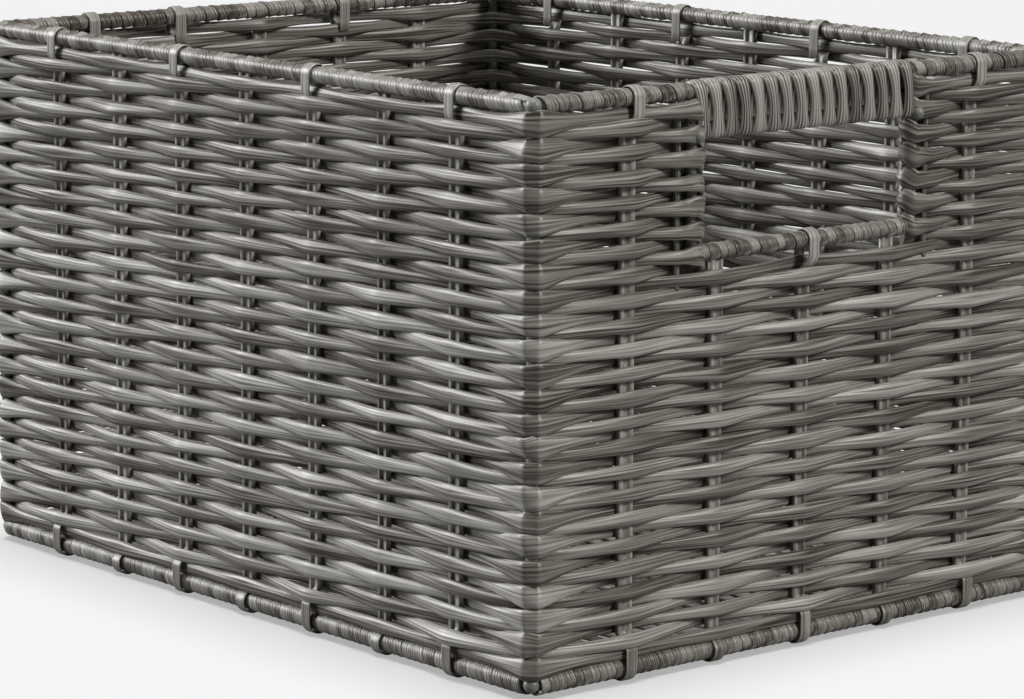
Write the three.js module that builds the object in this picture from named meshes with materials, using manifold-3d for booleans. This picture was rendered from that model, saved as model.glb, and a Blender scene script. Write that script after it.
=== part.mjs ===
// A rectangular storage basket: flat synthetic strands woven round upright cords on a steel wire frame,
// with a cut-out hand-hold and a wound grip in its right end. Millimetres, +Z up, X along the long sides.
// The basket stands on Z = 0 and is centred on the Z axis.

import * as THREE from "three";
import { mergeVertices } from "three/addons/utils/BufferGeometryUtils.js";
import Module from "manifold-3d";

const wasm = await Module();
wasm.setup();

// Driving dimensions of the wire frame, measured between wire centres
const frameLength = 313;
const frameWidth = 243;
const frameHeight = 193;
const wireDiameter = 4.2;
const cornerBend = 3.7;

// The space left between two pieces that touch
const clearance = 0.3;

// Strip wound round the rim, the bottom bars and the lower bar of each hand-hold
const wrapDiameter = 7;
const wrapSetback = 4;

// Woven walls and base: the cover is the strand in front of an upright where a row passes behind it
const wallThickness = 7;
const rowHeight = 4.03;
const strandCover = 0.4;
const baseThickness = 5;
const edgeTurn = 1.4;

// Upright cords, laid in flat pairs; the hooked ones go over a bar at the top. In the left end these
// are the ones listed, counted from the left seen from outside.
const cordPairWidth = 5.2;
const cordPairThickness = 1.4;
const longSideStakes = 7;
const leftEndStakes = 5;
const hookedLeftStakes = [2, 4, 5];
const baseCords = 5;
const swerveLength = 12;
const hookTail = 6;

// Hand-hold in the right end
const holdWidth = 96;
const holdHeight = 35;
const gripDepth = 20.5;
// Stakes of that end: those under the hand-hold as shares of its half width, and the one on each side
// of it as a share of the way from its side bar to the corner post
const underHoldShares = [-0.844, 0, 0.844];
const besideHoldShare = 0.419;
const weldNub = 1;

// Strand wound round the two wires of the grip
const gripStrandWidth = 4;
const gripStrandThickness = 1.4;
const gripStrandGap = 1.1;
const gripTurnRadius = 2.3;

// Facets; a whole circle in a shape has twice wrapSegments sides
const wireSides = 8;
const wrapSegments = 5;
const cornerSteps = 2;
const bendSteps = 3;
const swerveSteps = 3;
const quarterSteps = 3;
const rowsPerPlainPoint = 6;

// Sizes and places that follow from the ones above
const wireRadius = wireDiameter / 2;
const wrapRadius = wrapDiameter / 2;
const cordRadiusOnBar = wrapRadius + clearance + cordPairThickness / 2;
const barHeight = cordRadiusOnBar + cordPairThickness / 2;
const rimHeight = barHeight + frameHeight;
const halfLength = frameLength / 2;
const halfWidth = frameWidth / 2;
const halfWall = wallThickness / 2;
const wallLow = barHeight + wrapRadius + clearance;
const wallHigh = rimHeight - wrapRadius - clearance;
const endWallReach = halfWidth - halfWall - clearance;
const halfHold = holdWidth / 2;
const behindCord = cordPairThickness / 2 + clearance + strandCover;
const behindWire = wireRadius + clearance + strandCover;
const gripRadius = wireRadius + clearance + gripStrandThickness / 2;
const gripOuterRadius = gripRadius + gripStrandThickness / 2;
const gripTop = rimHeight + gripOuterRadius;
const gripWireHeight = gripTop - gripDepth + gripOuterRadius;
const lowerBarHeight = gripTop - gripDepth - holdHeight - wrapRadius;
const lowerWallHigh = lowerBarHeight - wrapRadius - clearance;
const sideBarPlace = halfHold + edgeTurn + clearance + wireRadius;

// Finishes
const steel = new THREE.MeshStandardMaterial({ color: 0x66706e, roughness: 0.5, metalness: 0.4 });
const strand = new THREE.MeshStandardMaterial({ color: 0x86837d, roughness: 0.55, metalness: 0 });
const strip = new THREE.MeshStandardMaterial({ color: 0x96938c, roughness: 0.55, metalness: 0 });
const cord = new THREE.MeshStandardMaterial({ color: 0x6f6c67, roughness: 0.55, metalness: 0 });

// Solids: closed meshes are joined and cut as manifolds and come back as plain geometry

function solidOf(geometry) {
  const bare = geometry.clone();
  bare.deleteAttribute("normal");
  bare.deleteAttribute("uv");
  const merged = mergeVertices(bare);
  const vertProperties = new Float32Array(merged.attributes.position.array);
  const triVerts = new Uint32Array(merged.index.array);
  return new wasm.Manifold(new wasm.Mesh({ numProp: 3, vertProperties, triVerts }));
}

function geometryOf(solid) {
  const mesh = solid.getMesh();
  const geometry = new THREE.BufferGeometry();
  geometry.setAttribute("position", new THREE.BufferAttribute(mesh.vertProperties, 3));
  geometry.setIndex(new THREE.BufferAttribute(mesh.triVerts, 1));
  geometry.computeVertexNormals();
  return geometry;
}

function cutAll(solid, tools) {
  return tools.reduce((left, tool) => left.subtract(tool), solid);
}

// A path through chosen stations, with one step of a sweep between each two
class StationPath extends THREE.Curve {
  constructor(stations, closed = false) {
    super();
    this.stations = closed ? [...stations, stations[0]] : stations;
    this.closed = closed;
    this.steps = this.stations.length - 1;
  }

  getPoint(share, target = new THREE.Vector3()) {
    const at = share * this.steps;
    const first = Math.min(Math.floor(at), this.steps - 1);
    return target.lerpVectors(this.stations[first], this.stations[first + 1], at - first);
  }

  getPointAt(share, target) {
    return this.getPoint(share, target);
  }

  direction(first) {
    return new THREE.Vector3().subVectors(this.stations[first + 1], this.stations[first]).normalize();
  }

  getTangentAt(share, target = new THREE.Vector3()) {
    const at = Math.round(share * this.steps);
    const before = at > 0 ? at - 1 : this.closed ? this.steps - 1 : 0;
    const after = at < this.steps ? at : this.closed ? 0 : this.steps - 1;
    return target.addVectors(this.direction(before), this.direction(after)).normalize();
  }
}

// A section drawn in y and z and carried straight along x
function extrudeAlongX(section, from, to) {
  const options = { depth: to - from, bevelEnabled: false, curveSegments: wrapSegments };
  const turn = new THREE.Matrix4().set(0, 0, 1, from, 1, 0, 0, 0, 0, 1, 0, 0, 0, 0, 0, 1);
  return new THREE.ExtrudeGeometry(section, options).applyMatrix4(turn);
}

// A round rod between two heights, or between two places along x
function uprightRod(radius, x, y, low, high) {
  const geometry = new THREE.CylinderGeometry(radius, radius, high - low, wireSides);
  return geometry.rotateX(Math.PI / 2).translate(x, y, (low + high) / 2);
}

function levelRod(radius, from, to, y, z) {
  const geometry = new THREE.CylinderGeometry(radius, radius, to - from, wireSides);
  return geometry.rotateZ(Math.PI / 2).translate((from + to) / 2, y, z);
}

// Each side of the basket is made with its outer face towards -Y and turned into its place.
// "half" is the distance from the middle of the basket to the middle of that side's wall.

// Steel frame: a rounded rectangular hoop of wire stands in each long side
function wireHoop(half) {
  const stations = [];
  const across = halfLength - cornerBend;
  const corners = [
    [across, barHeight + cornerBend, -Math.PI / 2],
    [across, rimHeight - cornerBend, 0],
    [-across, rimHeight - cornerBend, Math.PI / 2],
    [-across, barHeight + cornerBend, Math.PI],
  ];
  for (const [x, z, start] of corners) {
    for (let step = 0; step <= bendSteps; step++) {
      const angle = start + (step / bendSteps) * (Math.PI / 2);
      const reach = cornerBend * Math.cos(angle);
      stations.push(new THREE.Vector3(x + reach, -half, z + cornerBend * Math.sin(angle)));
    }
  }
  const path = new StationPath(stations, true);
  return new THREE.TubeGeometry(path, path.steps, wireRadius, wireSides, true);
}

// Straight rails join the two hoops at the rim and at the bottom of each end
function endRail(half, height) {
  const reach = halfWidth - wireRadius - clearance;
  return levelRod(wireRadius, -reach, reach, -half, height);
}

// The hand-hold's frame is welded from two side bars, the lower wire of the grip and the lower bar
function handleFrame(half, grown = 0) {
  const radius = wireRadius + grown;
  const high = wallHigh + grown;
  const reach = sideBarPlace + wireRadius + weldNub + grown;
  const rods = [
    levelRod(radius, -reach, reach, -half, gripWireHeight),
    levelRod(radius, -reach, reach, -half, lowerBarHeight),
    uprightRod(radius, -sideBarPlace, -half, lowerBarHeight, high),
    uprightRod(radius, sideBarPlace, -half, lowerBarHeight, high),
  ];
  return rods.map(solidOf).reduce((joined, rod) => joined.add(rod));
}

// Strip wound closely round a bar, drawn as a sleeve
function barWrap(half, from, to, height) {
  const ring = new THREE.Shape().absarc(-half, height, wrapRadius, 0, 2 * Math.PI);
  ring.holes.push(new THREE.Path().absarc(-half, height, wireRadius + clearance, 0, 2 * Math.PI));
  return extrudeAlongX(ring, from, to);
}

// Upright cords. A route is a list of [out, z]: out is measured from the middle of the wall outwards.

// Between the middle of the wall and the outside of a bar a cord swerves on half a cosine wave; the rise
// is from the bar to where the swerve starts in the wall
function swerveRoute(height, rise) {
  const route = [];
  for (let step = 0; step <= swerveSteps; step++) {
    const share = step / swerveSteps;
    route.push([(cordRadiusOnBar * (1 - Math.cos(Math.PI * share))) / 2, height + (1 - share) * rise]);
  }
  return route;
}

// Round a bar, from one angle to another; an angle of zero points outwards
function roundBar(height, from, to, steps) {
  const route = [];
  for (let step = 0; step <= steps; step++) {
    const angle = from + (step / steps) * (to - from);
    route.push([cordRadiusOnBar * Math.cos(angle), height + cordRadiusOnBar * Math.sin(angle)]);
  }
  return route;
}

// Hooked end, from its tip: up the inner face of the wall, over the bar, and down into the wall
function hookRoute(height) {
  const overBar = roundBar(height, Math.PI, 0, 2 * quarterSteps);
  const intoWall = swerveRoute(height, -swerveLength).reverse();
  return [[-cordRadiusOnBar, height - hookTail], ...overBar, ...intoWall.slice(1)];
}

// Lower end: out of the wall, down the outside of the bottom bar and under it, three eighths of a turn
const bottomTurn = (3 / 4) * Math.PI;

function bottomRoute() {
  const roundBottom = roundBar(barHeight, 0, -bottomTurn, Math.ceil((3 / 2) * quarterSteps));
  return [...swerveRoute(barHeight, swerveLength), ...roundBottom.slice(1)];
}

// A stake is one flat pair of cords from its top to the edge of the base
function stakeCord(half, place, top, grown = 0) {
  const across = cordPairThickness / 2 + grown;
  const edge = cordPairWidth / 2 + grown;
  const section = new THREE.Shape([
    new THREE.Vector2(-across, -edge),
    new THREE.Vector2(across, -edge),
    new THREE.Vector2(across, edge),
    new THREE.Vector2(-across, edge),
  ]);
  const stations = [...top, ...bottomRoute()].map(([out, z]) => new THREE.Vector3(place, -half - out, z));
  const path = new StationPath(stations);
  return new THREE.ExtrudeGeometry(section, { steps: path.steps, extrudePath: path });
}

// Where a cord swerves out of the weave, the wall is open in front of it
function channelMouth(half, place, height, rise) {
  const edge = cordPairWidth / 2 + clearance;
  const outline = [...swerveRoute(height, rise), [wallThickness, height], [wallThickness, height + rise]];
  const section = new THREE.Shape(outline.map(([out, z]) => new THREE.Vector2(-half - out, z)));
  return solidOf(extrudeAlongX(section, place - edge, place + edge));
}

// Woven walls: rows of strand pass outside and behind the uprights in turn, each row opposite to the
// next. A face has a crest where a row passes an upright on its side, and lies back everywhere else.

// A station of a wall holds its place along it, and how far out the outer and the inner face lie there,
// each in even and in odd rows. There is one at each upright and one halfway between each two, where all
// rows lie alike.
function weaveStations(uprights, crest) {
  const stations = [];
  uprights.forEach(({ place, behind }, number) => {
    if (number > 0) {
      const between = (uprights[number - 1].place + place) / 2;
      stations.push({ place: between, outer: [behindCord, behindCord], inner: [behindCord, behindCord] });
    }
    const [evenOutside, oddOutside] = [[crest, behind], [behind, crest]];
    const [outer, inner] = number % 2 === 0 ? [evenOutside, oddOutside] : [oddOutside, evenOutside];
    stations.push({ place, outer, inner });
  });
  return stations;
}

function stationAt(stations, place) {
  const next = stations.findIndex((station) => station.place > place);
  if (next <= 0) {
    return { ...stations.at(next), place };
  }
  const [left, right] = [stations[next - 1], stations[next]];
  const share = (place - left.place) / (right.place - left.place);
  const mix = (from, to) => from.map((reach, parity) => reach + share * (to[parity] - reach));
  return { place, outer: mix(left.outer, right.outer), inner: mix(left.inner, right.inner) };
}

function stationsBetween(stations, from, to) {
  const inside = stations.filter(({ place }) => place > from && place < to);
  return [stationAt(stations, from), ...inside, stationAt(stations, to)];
}

// A column of points up a face, from the panel's lower edge to its upper edge, with one on the middle of
// each row, or of each few rows where all lie alike; pointOf gives [along, out] for a row's reach
function faceColumn(reaches, low, high, rows, pointOf) {
  const [even, odd] = reaches;
  const steps = even === odd ? Math.ceil(rows / rowsPerPlainPoint) : rows;
  const points = [];
  for (let step = 0; step <= steps + 1; step++) {
    const share = Math.min(Math.max((step - 1 / 2) / steps, 0), 1);
    const onEdge = step === 0 || step === steps + 1;
    const [along, out] = pointOf(onEdge ? Math.min(even, odd) : reaches[(step - 1) % 2]);
    points.push(new THREE.Vector3(along, -out, low + share * (high - low)));
  }
  return points;
}

// Faces between two neighbouring columns, which may have different numbers of points
function zip(left, right) {
  const faces = [];
  let [i, j] = [0, 0];
  while (i < left.length - 1 || j < right.length - 1) {
    const leftIsNext = i < left.length - 1 && (j === right.length - 1 || left[i + 1].z <= right[j + 1].z);
    faces.push(left[i], right[j], leftIsNext ? left[i + 1] : right[j + 1]);
    if (leftIsNext) {
      i++;
    } else {
      j++;
    }
  }
  return faces;
}

// A panel stands between its outer columns and as many inner ones, all from left to right
function panelSolid(outer, inner) {
  const round = [...outer, ...inner.slice().reverse()];
  const faces = round.flatMap((column, index) => zip(column, round[(index + 1) % round.length]));
  for (let index = 0; index < outer.length - 1; index++) {
    const columns = [outer[index], outer[index + 1], inner[index + 1], inner[index]];
    const [a, b, c, d] = columns.map((column) => column.at(-1));
    const [e, f, g, h] = columns.map((column) => column[0]);
    faces.push(a, b, c, a, c, d, e, g, f, e, h, g);
  }
  const positions = faces.flatMap((point) => [point.x, point.y, point.z]);
  const geometry = new THREE.BufferGeometry();
  geometry.setAttribute("position", new THREE.BufferAttribute(new Float32Array(positions), 3));
  return solidOf(geometry);
}

function rowsIn(low, high) {
  return Math.max(1, Math.round((high - low) / rowHeight));
}

function wovenPanel(stations, low, high, rows) {
  const column = (reaches, pointOf) => faceColumn(reaches, low, high, rows, pointOf);
  return panelSolid(
    stations.map(({ place, outer }) => column(outer, (reach) => [place, reach])),
    stations.map(({ place, inner }) => column(inner, (reach) => [place, -reach])),
  );
}

// A long wall goes round the outside of its posts: its last stations are turned about them, while the
// inner face runs straight on, plain where the end walls meet it
function longWallSolid(stations) {
  const column = (reaches, pointOf) =>
    faceColumn(reaches, wallLow, wallHigh, rowsIn(wallLow, wallHigh), pointOf);
  const turns = [];
  for (let step = 1; step <= cornerSteps; step++) {
    turns.push(step / cornerSteps);
  }
  const turned = [
    ...turns.map((turn) => ({ station: stations[0], turn: -turn })).reverse(),
    ...stations.map((station) => ({ station, turn: 0 })),
    ...turns.map((turn) => ({ station: stations.at(-1), turn })),
  ];
  const outer = turned.map(({ station: { place, outer }, turn }) => {
    const angle = turn * (Math.PI / 2);
    return column(outer, (reach) => [place + reach * Math.sin(angle), reach * Math.cos(angle)]);
  });
  const inner = turned.map(({ station: { place, inner }, turn }) => {
    const reaches = turn === 0 ? inner : [behindWire, behindWire];
    return column(reaches, (reach) => [place + turn * halfWall, -reach]);
  });
  return panelSolid(outer, inner);
}

// Grip: one strand wound round the rim rail and the wire below it.
// "turned" runs round the two wires from the top, over the outer side; "along" runs along the grip.
const gripStraight = rimHeight - gripWireHeight;
const gripRound = 2 * Math.PI * gripRadius + 2 * gripStraight;
const gripTailEnd = halfHold - clearance;
const gripFirstLoop = gripTailEnd - gripStrandWidth - gripTurnRadius;
const gripLoops = Math.floor((2 * gripFirstLoop) / (gripStrandWidth + gripStrandGap));

function gripSurface(half, along, turned, lift) {
  const arc = Math.PI * gripRadius;
  const at = ((turned % gripRound) + gripRound) % gripRound;
  const radius = gripRadius + lift;
  let out;
  let z;
  if (at < arc / 2 || at > gripRound - arc / 2) {
    const angle = Math.PI / 2 - (at < arc / 2 ? at : at - gripRound) / gripRadius;
    out = radius * Math.cos(angle);
    z = rimHeight + radius * Math.sin(angle);
  } else if (at < arc / 2 + gripStraight) {
    out = radius;
    z = rimHeight - (at - arc / 2);
  } else if (at < arc / 2 + gripStraight + arc) {
    const angle = -(at - arc / 2 - gripStraight) / gripRadius;
    out = radius * Math.cos(angle);
    z = gripWireHeight + radius * Math.sin(angle);
  } else {
    out = -radius;
    z = gripWireHeight + (at - arc / 2 - gripStraight - arc);
  }
  return new THREE.Vector3(along, -half - out, z);
}

// The strand's route on the unrolled surface, as [along, turned] with its heading
function gripRoute() {
  const climb = Math.atan2(2 * gripFirstLoop, gripLoops * gripRound);
  const lean = Math.PI / 2 - climb;
  const bend = [];
  for (let step = 1; step < bendSteps; step++) {
    const heading = (step / bendSteps) * lean;
    const along = -gripFirstLoop - gripTurnRadius * (Math.sin(lean) - Math.sin(heading));
    bend.push({ along, turned: gripTurnRadius * (1 - Math.cos(heading)), heading });
  }
  const bendLength = gripTurnRadius * (1 - Math.cos(lean));
  const bendStart = -gripFirstLoop - gripTurnRadius * Math.sin(lean);
  const route = [];
  route.push({ along: -gripTailEnd, turned: 0, heading: 0 });
  route.push({ along: bendStart, turned: 0, heading: 0 });
  route.push(...bend);

  const arc = Math.PI * gripRadius;
  const stops = [];
  for (let step = 0; step <= 2 * quarterSteps; step++) {
    const round = (step / (2 * quarterSteps)) * arc;
    stops.push(round - arc / 2, round + arc / 2 + gripStraight);
  }
  stops.sort((a, b) => a - b);
  const total = gripLoops * gripRound;
  const last = total - bendLength;
  const least = arc / (4 * quarterSteps);
  const slope = (2 * gripFirstLoop) / (last - bendLength);
  const turns = [bendLength];
  for (let loop = 0; loop <= gripLoops; loop++) {
    for (const stop of stops) {
      const turned = loop * gripRound + stop;
      if (turned > bendLength + least && turned < last - least) {
        turns.push(turned);
      }
    }
  }
  turns.push(last);
  for (const turned of turns) {
    route.push({ along: -gripFirstLoop + slope * (turned - bendLength), turned, heading: lean });
  }
  for (const { along, turned, heading } of bend.reverse()) {
    route.push({ along: -along, turned: total - turned, heading });
  }
  route.push({ along: -bendStart, turned: total, heading: 0 });
  route.push({ along: gripTailEnd, turned: total, heading: 0 });
  return route;
}

function gripWinding(half) {
  const edge = gripStrandWidth / 2;
  const lift = gripStrandThickness / 2;
  const flat = edge - lift;
  const section = [[-edge, 0], [-flat, -lift], [flat, -lift], [edge, 0], [flat, lift], [-flat, lift]];
  const rings = gripRoute().map(({ along, turned, heading }) =>
    section.map(([side, raised]) =>
      gripSurface(half, along - side * Math.sin(heading), turned + side * Math.cos(heading), raised)));
  const positions = rings.flat().flatMap((point) => [point.x, point.y, point.z]);
  const sides = section.length;
  const indices = [];
  for (let ring = 0; ring < rings.length - 1; ring++) {
    for (let side = 0; side < sides; side++) {
      const here = ring * sides + side;
      const next = ring * sides + ((side + 1) % sides);
      indices.push(here, here + sides, next, next, here + sides, next + sides);
    }
  }
  const end = (rings.length - 1) * sides;
  for (let side = 1; side < sides - 1; side++) {
    indices.push(0, side, side + 1);
    indices.push(end, end + side + 1, end + side);
  }
  const geometry = new THREE.BufferGeometry();
  geometry.setAttribute("position", new THREE.BufferAttribute(new Float32Array(positions), 3));
  geometry.setIndex(indices);
  geometry.computeVertexNormals();
  return geometry;
}

// The least gap between two passes of the grip strand, measured between the middles of the passes
function gripLeastGap(half) {
  const points = gripRoute().map(({ along, turned }) => {
    return { turned, at: gripSurface(half, along, turned, 0) };
  });
  let least = Infinity;
  for (let i = 0; i < points.length; i++) {
    for (let j = i + 1; j < points.length; j++) {
      if (points[j].turned - points[i].turned > gripRound / 2) {
        const apart = points[i].at.distanceTo(points[j].at);
        const across = apart < gripOuterRadius * 2 ? gripStrandWidth : gripStrandThickness;
        least = Math.min(least, apart - across);
      }
    }
  }
  return least;
}

// Assembly
const basket = new THREE.Group();
basket.name = "basket";

function addPiece(group, name, geometry, material) {
  const mesh = new THREE.Mesh(geometry, material);
  mesh.name = name;
  group.add(mesh);
}

function turnedGroup(angle) {
  const group = new THREE.Group();
  group.rotation.z = angle;
  basket.add(group);
  return group;
}

// Every stake of a side is numbered from 1, from left to right seen from outside
function stakesOf(half, places, topOf) {
  return places.map((place, index) => {
    const { hookedOver, stopsAt } = topOf(place, index);
    const top = hookedOver ? hookRoute(hookedOver) : [[0, stopsAt]];
    const channels = [
      solidOf(stakeCord(half, place, top, clearance)),
      channelMouth(half, place, barHeight, swerveLength),
    ];
    if (hookedOver) {
      channels.push(channelMouth(half, place, hookedOver, -swerveLength));
    }
    return { stake: index + 1, geometry: stakeCord(half, place, top), channels };
  });
}

function evenPlaces(count, length) {
  return Array.from({ length: count }, (_, index) => ((index + 1) / (count + 1) - 1 / 2) * length);
}

// On the long sides and in the left end the stakes stand evenly between the posts. Every second one of
// a long side hooks over the rim.
const toRim = { hookedOver: rimHeight };
const insideWall = { stopsAt: wallHigh - clearance };
const longPlaces = evenPlaces(longSideStakes, frameLength);
const longStakes = stakesOf(halfWidth, longPlaces, (place, index) => (index % 2 === 0 ? toRim : insideWall));
const leftPlaces = evenPlaces(leftEndStakes, frameWidth);
const leftStakes = stakesOf(halfLength, leftPlaces, (place, index) =>
  hookedLeftStakes.includes(index + 1) ? toRim : insideWall);

// In the right end those beside the hand-hold hook over the rim, the middle one hooks over the lower bar
// and the rest stop below it
const besideHold = sideBarPlace + besideHoldShare * (halfWidth - sideBarPlace);
const rightPlaces = [-besideHold, ...underHoldShares.map((share) => share * halfHold), besideHold];
const rightStakes = stakesOf(halfLength, rightPlaces, (place) => {
  if (place === 0) {
    return { hookedOver: lowerBarHeight };
  }
  return Math.abs(place) > halfHold ? toRim : { stopsAt: lowerWallHigh - clearance };
});

function channelsOf(stakes) {
  return stakes.flatMap(({ channels }) => channels);
}

const postChannels = [-halfLength, halfLength].map((x) =>
  solidOf(uprightRod(wireRadius + clearance, x, -halfWidth, barHeight, rimHeight)));

// The uprights of a side in order, from one post to the other
function uprightsOf(ends, places) {
  const cords = places.map((place) => ({ place, behind: behindCord }));
  const [first, last] = ends.map((place) => ({ place, behind: behindWire }));
  return [first, ...cords, last];
}

// Long sides
const longUprights = uprightsOf([-halfLength, halfLength], longPlaces);
const wholeLongWall = longWallSolid(weaveStations(longUprights, halfWall)).translate(0, -halfWidth, 0);
const longWall = cutAll(wholeLongWall, [...channelsOf(longStakes), ...postChannels]);
const longWrapReach = halfLength - wrapSetback;
for (const [side, angle] of [["front", 0], ["back", Math.PI]]) {
  const group = turnedGroup(angle);
  addPiece(group, `wire_hoop_${side}`, wireHoop(halfWidth), steel);
  addPiece(group, `woven_wall_${side}`, geometryOf(longWall), strand);
  addPiece(group, `rim_wrap_${side}`, barWrap(halfWidth, -longWrapReach, longWrapReach, rimHeight), strip);
  addPiece(group, `bottom_wrap_${side}`, barWrap(halfWidth, -longWrapReach, longWrapReach, barHeight), strip);
  for (const { stake, geometry } of longStakes) {
    addPiece(group, `stake_${side}_${stake}`, geometry, cord);
  }
}

// Ends
const endWrapReach = halfWidth - wrapSetback;

function addEnd(side, angle, stakes) {
  const group = turnedGroup(angle);
  addPiece(group, `rim_rail_${side}`, endRail(halfLength, rimHeight), steel);
  addPiece(group, `bottom_rail_${side}`, endRail(halfLength, barHeight), steel);
  addPiece(group, `bottom_wrap_${side}`, barWrap(halfLength, -endWrapReach, endWrapReach, barHeight), strip);
  for (const { stake, geometry } of stakes) {
    addPiece(group, `stake_${side}_${stake}`, geometry, cord);
  }
  return group;
}

function endPanel(uprights, from, to, low, high) {
  const stations = stationsBetween(weaveStations(uprights, halfWall), from, to);
  return wovenPanel(stations, low, high, rowsIn(low, high)).translate(0, -halfLength, 0);
}

// The left end is one whole wall
const leftEnd = addEnd("left", -Math.PI / 2, leftStakes);
const leftUprights = uprightsOf([-halfWidth, halfWidth], leftPlaces);
const wholeLeftWall = endPanel(leftUprights, -endWallReach, endWallReach, wallLow, wallHigh);
addPiece(leftEnd, "rim_wrap_left", barWrap(halfLength, -endWrapReach, endWrapReach, rimHeight), strip);
addPiece(leftEnd, "woven_wall_left", geometryOf(cutAll(wholeLeftWall, channelsOf(leftStakes))), strand);

// The right end has a wall under the hand-hold and one on each side of it, where the strands turn back
// round the side bars
const rightEnd = addEnd("right", Math.PI / 2, rightStakes);
const rightChannels = channelsOf(rightStakes);
const rightUprights = uprightsOf([-halfWidth, halfWidth], rightPlaces);
const wholeLowerWall = endPanel(rightUprights, -endWallReach, endWallReach, wallLow, lowerWallHigh);
addPiece(rightEnd, "woven_wall_right_lower", geometryOf(cutAll(wholeLowerWall, rightChannels)), strand);
const handleChannel = handleFrame(halfLength, clearance);
for (const [name, side] of [["front", -1], ["back", 1]]) {
  const posts = [side * sideBarPlace, side * halfWidth].sort((a, b) => a - b);
  const [from, to] = [side * halfHold, side * endWallReach].sort((a, b) => a - b);
  const [wrapFrom, wrapTo] = [side * halfHold, side * endWrapReach].sort((a, b) => a - b);
  const uprights = uprightsOf(posts, [side * besideHold]);
  const wholeWall = endPanel(uprights, from, to, lowerWallHigh + clearance, wallHigh);
  const wall = cutAll(wholeWall, [...rightChannels, handleChannel]);
  addPiece(rightEnd, `woven_wall_right_${name}`, geometryOf(wall), strand);
  addPiece(rightEnd, `rim_wrap_right_${name}`, barWrap(halfLength, wrapFrom, wrapTo, rimHeight), strip);
}
const handleWrap = barWrap(halfLength, clearance - halfHold, halfHold - clearance, lowerBarHeight);
addPiece(rightEnd, "handle_frame", geometryOf(handleFrame(halfLength)), steel);
addPiece(rightEnd, "handle_wrap", handleWrap, strip);
addPiece(rightEnd, "grip_winding", gripWinding(halfLength), strand);

// Base: woven over flat pairs of cords that cross it, level with the middle of the bottom bars
const baseReachX = halfLength - wrapRadius - clearance;
const baseReachY = halfWidth - wrapRadius - clearance;

function baseCord(place, grown = 0) {
  const width = cordPairWidth + 2 * grown;
  const length = 2 * (baseReachY - clearance + 2 * grown);
  return new THREE.BoxGeometry(width, length, cordPairThickness + 2 * grown).translate(place, 0, barHeight);
}

const basePlaces = evenPlaces(baseCords, frameLength);
const baseChannels = basePlaces.map((place) => solidOf(baseCord(place, clearance)));

// The base is a panel laid flat, its woven face up and its underside plain. Its strands lie in pairs.
const halfBase = baseThickness / 2;
const baseUprights = uprightsOf([-halfLength, halfLength], basePlaces);
const baseStations = stationsBetween(weaveStations(baseUprights, halfBase), -baseReachX, baseReachX);
const flatStations = baseStations.map((station) => ({ ...station, inner: [halfBase, halfBase] }));
const basePairs = Math.round(rowsIn(-baseReachY, baseReachY) / 2);
const basePanel = wovenPanel(flatStations, -baseReachY, baseReachY, basePairs);
const wholeBase = basePanel.rotate(-90, 0, 0).translate(0, 0, barHeight);
addPiece(basket, "woven_base", geometryOf(cutAll(wholeBase, baseChannels)), strand);
basePlaces.forEach((place, index) => addPiece(basket, `base_cord_${index + 1}`, baseCord(place), cord));

console.log(`grip: ${gripLoops} loops, least gap between passes ${gripLeastGap(halfLength).toFixed(2)} mm`);

export default basket;
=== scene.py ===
import math

import bpy
import numpy as np
from mathutils import Matrix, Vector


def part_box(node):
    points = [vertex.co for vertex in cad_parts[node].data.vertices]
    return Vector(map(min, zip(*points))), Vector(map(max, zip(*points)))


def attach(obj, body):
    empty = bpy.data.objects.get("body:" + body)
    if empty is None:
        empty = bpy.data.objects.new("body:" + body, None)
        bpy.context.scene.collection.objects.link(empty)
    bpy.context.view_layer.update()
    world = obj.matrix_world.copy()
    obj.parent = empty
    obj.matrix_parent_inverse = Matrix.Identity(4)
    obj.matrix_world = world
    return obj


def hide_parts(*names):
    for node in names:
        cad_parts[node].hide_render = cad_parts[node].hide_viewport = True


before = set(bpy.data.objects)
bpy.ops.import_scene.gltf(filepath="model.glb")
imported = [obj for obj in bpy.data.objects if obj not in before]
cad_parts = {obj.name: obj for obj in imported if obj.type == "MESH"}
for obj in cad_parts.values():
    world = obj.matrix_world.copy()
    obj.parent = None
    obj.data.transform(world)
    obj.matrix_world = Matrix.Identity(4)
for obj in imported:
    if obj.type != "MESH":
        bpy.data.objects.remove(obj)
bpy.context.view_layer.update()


# Studio
# The basket stands on a wide pale floor. Two broad soft lights stand far round at its left and right, so
# that the near corner faces a darker room. Three more hang above: one for the basket, one for the floor,
# and one that fills the basket's shadow on the floor.
camera_place = (1.17355, -0.98370, 0.35840)
camera_azimuth = math.radians(50)
camera_pitch = math.radians(-10.211)
camera_roll = math.radians(0.1875)
camera_lens = 145.86
camera_sensor = 36
floor_size = 60
floor_color = (0.92, 0.92, 0.92, 1)
floor_bounce_color = (0.25, 0.25, 0.25, 1)
sky_color = (1.0, 1.0, 1.0, 1)
light_white = (1.0, 1.0, 1.0)
light_warm = (1.0, 0.965, 0.91)
sky_strength = 0.06


def add_camera():
    """A camera at its place: rolled, tipped up from straight down, and then turned about the vertical."""
    data = bpy.data.cameras.new("camera")
    data.lens = camera_lens
    data.sensor_width = camera_sensor
    data.sensor_fit = "HORIZONTAL"
    camera = bpy.data.objects.new("camera", data)
    turn = Matrix.Rotation(camera_azimuth, 4, "Z")
    tilt = Matrix.Rotation(math.pi / 2 + camera_pitch, 4, "X")
    roll = Matrix.Rotation(camera_roll, 4, "Z")
    camera.matrix_world = Matrix.Translation(camera_place) @ turn @ tilt @ roll
    bpy.context.scene.collection.objects.link(camera)
    bpy.context.scene.camera = camera


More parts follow.
